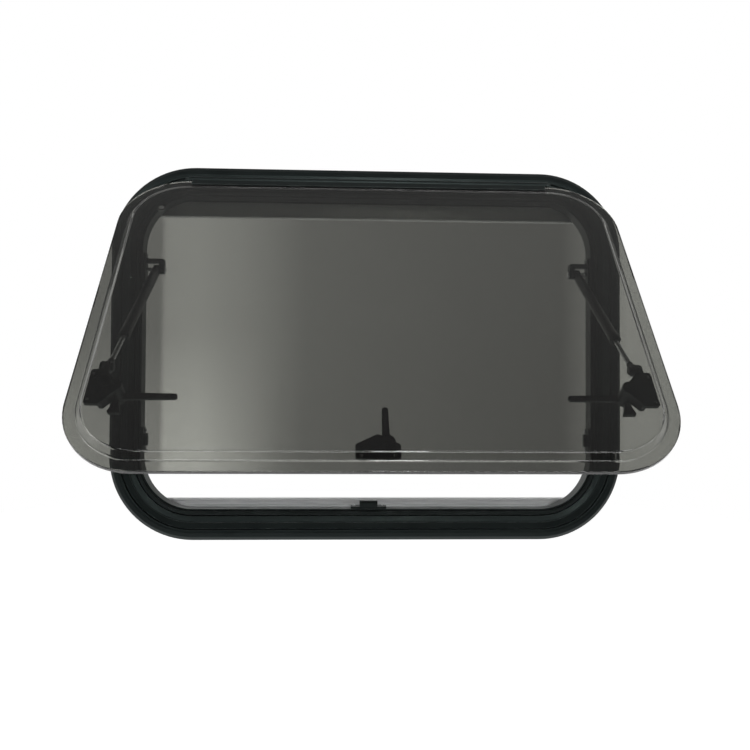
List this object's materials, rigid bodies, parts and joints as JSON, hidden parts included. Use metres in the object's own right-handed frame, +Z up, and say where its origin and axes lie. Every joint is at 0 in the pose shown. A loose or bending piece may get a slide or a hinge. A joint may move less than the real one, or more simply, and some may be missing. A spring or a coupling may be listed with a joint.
{
  "type": "deck hatch",
  "caption": "Top-hung opening hatch window: stepped smoked double pane in a black rounded frame, with telescopic stays, turning latches and a pleated screen cassette.",
  "frame": {"origin": "centre of the wall cut-out, on the wall's outer face", "axes": "+X along the hinge, +Z up the wall, -Y outwards"},
  "size_m": [0.758, 0.3749, 0.55],
  "materials": {
    "frame_black": "satin powder coat",
    "mill_aluminium": "mill",
    "gasket_foam": "closed-cell foam",
    "seal_rubber": "matt rubber",
    "smoked_acrylic": "polished, smoked",
    "clear_plastic": "polished",
    "steel": "zinc plated",
    "tube_aluminium": "dark anodised",
    "silver_anodised": "satin anodised",
    "cassette_grey": "satin anodised",
    "screen_mesh": "woven mesh",
    "blind_fabric": "coated cloth",
    "black_plastic": "moulded"
  },
  "bodies": {
    "frame": {"blind_pleats": "blind_fabric", "cassette_head": "cassette_grey", "cassette_screws": "steel", "cassette_side_rail_left": "cassette_grey", "cassette_side_rail_right": "cassette_grey", "cassette_sill": "cassette_grey", "catch_bottom": "black_plastic", "catch_left": "black_plastic", "catch_right": "black_plastic", "catch_screws": "steel", "clamp_ring": "frame_black", "clamp_screws": "steel", "flange_gasket": "gasket_foam", "frame_seal": "seal_rubber", "frame_splice": "mill_aluminium", "hinge_rail": "frame_black", "hinge_rail_end_stops": "black_plastic", "hinge_rail_rivets": "steel", "outer_frame": "frame_black", "screen_pleats": "screen_mesh", "stay_bracket_left": "black_plastic", "stay_bracket_pin_left": "steel", "stay_bracket_pin_right": "steel", "stay_bracket_right": "black_plastic", "stay_bracket_screws": "steel"},
    "pane": {"outer_pane": "smoked_acrylic", "inner_pane": "smoked_acrylic", "breather_plug": "clear_plastic", "pane_hinge_profile": "frame_black", "latch_base_left": "black_plastic", "latch_base_right": "black_plastic", "latch_base_bottom": "black_plastic", "latch_screws": "steel"},
    "screen_bar": {"screen_pull_bar": "silver_anodised", "screen_bar_shoes": "black_plastic"},
    "blind_bar": {"blind_pull_bar": "silver_anodised", "blind_bar_shoes": "black_plastic"},
    "stay_tube_left": {"stay_tube_left": "tube_aluminium", "stay_tube_collar_left": "black_plastic"},
    "stay_rod_left": {"stay_rod_left": "steel", "stay_rod_end_left": "black_plastic", "stay_pivot_cap_left": "black_plastic"},
    "stay_tube_right": {"stay_tube_right": "tube_aluminium", "stay_tube_collar_right": "black_plastic"},
    "stay_rod_right": {"stay_rod_right": "steel", "stay_rod_end_right": "black_plastic", "stay_pivot_cap_right": "black_plastic"},
    "latch_handle_left": {"latch_handle_left": "black_plastic"},
    "latch_button_left": {"latch_button_left": "black_plastic"},
    "latch_handle_right": {"latch_handle_right": "black_plastic"},
    "latch_button_right": {"latch_button_right": "black_plastic"},
    "latch_handle_bottom": {"latch_handle_bottom": "black_plastic"},
    "latch_button_bottom": {"latch_button_bottom": "black_plastic"}
  },
  "joints": [
    {"name": "pane_hinge", "type": "hinge", "parent": "frame", "child": "pane", "pos_m": [0, -0.0144, 0.2543], "axis": [-1, 0, 0], "range_deg": [-37.6, 0]},
    {"name": "stay_tube_hinge_left", "type": "hinge", "parent": "frame", "child": "stay_tube_left", "pos_m": [-0.3164, 0.008, 0.1225], "axis": [-1, 0, 0], "range_deg": [-53.25, 0.01]},
    {"name": "stay_rod_slide_left", "type": "slide", "parent": "stay_tube_left", "child": "stay_rod_left", "axis": [0, -0.8287, -0.5597], "range_m": [-0.05473, 0.00001]},
    {"name": "stay_tube_hinge_right", "type": "hinge", "parent": "frame", "child": "stay_tube_right", "pos_m": [0.3164, 0.008, 0.1225], "axis": [-1, 0, 0], "range_deg": [-53.25, 0.01]},
    {"name": "stay_rod_slide_right", "type": "slide", "parent": "stay_tube_right", "child": "stay_rod_right", "axis": [0, -0.8287, -0.5597], "range_m": [-0.05473, 0.00001]},
    {"name": "latch_turn_left", "type": "hinge", "parent": "pane", "child": "latch_handle_left", "pos_m": [-0.3024, -0.23108, -0.06313], "axis": [0, 0.7923, -0.6101], "range_deg": [0, 90]},
    {"name": "latch_button_press_left", "type": "slide", "parent": "latch_handle_left", "child": "latch_button_left", "axis": [0, -0.7923, 0.6101], "range_m": [0, 0.0022], "stiffness_N_per_m": 400},
    {"name": "latch_turn_right", "type": "hinge", "parent": "pane", "child": "latch_handle_right", "pos_m": [0.3024, -0.23108, -0.06313], "axis": [0, -0.7923, 0.6101], "range_deg": [0, 90]},
    {"name": "latch_button_press_right", "type": "slide", "parent": "latch_handle_right", "child": "latch_button_right", "axis": [0, -0.7923, 0.6101], "range_m": [0, 0.0022], "stiffness_N_per_m": 400},
    {"name": "latch_turn_bottom", "type": "hinge", "parent": "pane", "child": "latch_handle_bottom", "pos_m": [0.0114, -0.27837, -0.12453], "axis": [0, -0.7923, 0.6101], "range_deg": [0, 90]},
    {"name": "latch_button_press_bottom", "type": "slide", "parent": "latch_handle_bottom", "child": "latch_button_bottom", "axis": [0, -0.7923, 0.6101], "range_m": [0, 0.0022], "stiffness_N_per_m": 400},
    {"name": "screen_bar_slide", "type": "slide", "parent": "frame", "child": "screen_bar", "axis": [0, 0, -1], "range_m": [0, 0.43], "deforming": ["screen_pleats"]},
    {"name": "blind_bar_slide", "type": "slide", "parent": "frame", "child": "blind_bar", "axis": [0, 0, 1], "range_m": [0, 0.43], "deforming": ["blind_pleats"]}
  ],
  "couplings": [
    {"joint": "stay_tube_hinge_left", "follows": "pane_hinge", "ratio": 1.416},
    {"joint": "stay_rod_slide_left", "follows": "pane_hinge", "m_per_rad": 0.083391},
    {"joint": "stay_tube_hinge_right", "follows": "pane_hinge", "ratio": 1.416},
    {"joint": "stay_rod_slide_right", "follows": "pane_hinge", "m_per_rad": 0.083391}
  ]
}
